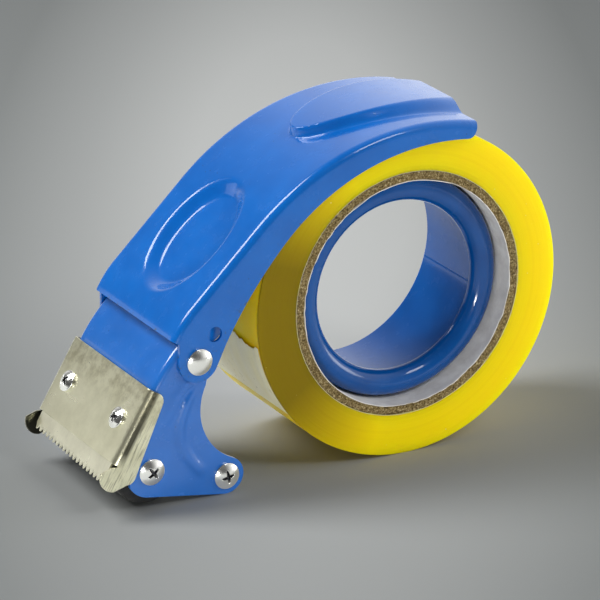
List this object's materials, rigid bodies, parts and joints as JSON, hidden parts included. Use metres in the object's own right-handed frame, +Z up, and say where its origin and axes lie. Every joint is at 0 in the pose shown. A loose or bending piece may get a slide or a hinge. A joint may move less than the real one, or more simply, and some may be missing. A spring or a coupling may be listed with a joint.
{
  "type": "packing tape dispenser",
  "caption": "Hand-held packing tape dispenser: pressed steel arch handle, hub drum with a part-used tape roll, and a head with rubber roller, guide tube and toothed blade.",
  "frame": {"origin": "on the hub axis, half way across the tape", "axes": "+Y along the hub axis, away from the open side where the roll is loaded; +Z up as it stands on the roll and on its heel; -X towards the blade"},
  "size_m": [0.1675, 0.0596, 0.1159],
  "materials": {
    "blue_paint": "gloss",
    "drum_paint": "gloss",
    "nickel_plate": "satin",
    "blade_steel": "bright",
    "screw_steel": "gloss",
    "axle_steel": "satin",
    "washer": "matte",
    "roller_plastic": "matte",
    "black_rubber": "matte",
    "grey_board": "matte",
    "white_paper": "matte",
    "yellow_film": "gloss",
    "cream_film": "gloss"
  },
  "bodies": {
    "frame": {"handle_shell": "blue_paint", "side_plate": "blue_paint", "hub_drum": "drum_paint", "front_frame": "blue_paint", "blade_guard": "nickel_plate", "blade": "blade_steel", "guard_screws": "screw_steel", "head_rivets": "screw_steel", "roller_axle": "axle_steel", "roller_screws": "screw_steel", "roller_washers": "washer", "guide_axle": "axle_steel", "guide_screws": "screw_steel"},
    "roll": {"tape_core": "grey_board", "core_liner": "white_paper", "tape_roll": "yellow_film", "tape_tail": "cream_film"},
    "roller": {"roller_core": "roller_plastic", "roller_sleeve": "black_rubber"},
    "guide": {"guide_tube": "axle_steel"}
  },
  "joints": [
    {"name": "roll_spin", "type": "hinge", "parent": "frame", "child": "roll", "pos_m": [0, 0, 0], "axis": [0, 1, 0], "continuous": true},
    {"name": "roller_spin", "type": "hinge", "parent": "frame", "child": "roller", "pos_m": [-0.09416, 0, -0.04223], "axis": [0, 1, 0], "continuous": true},
    {"name": "guide_spin", "type": "hinge", "parent": "frame", "child": "guide", "pos_m": [-0.06757, 0, -0.0488], "axis": [0, 1, 0], "continuous": true}
  ]
}
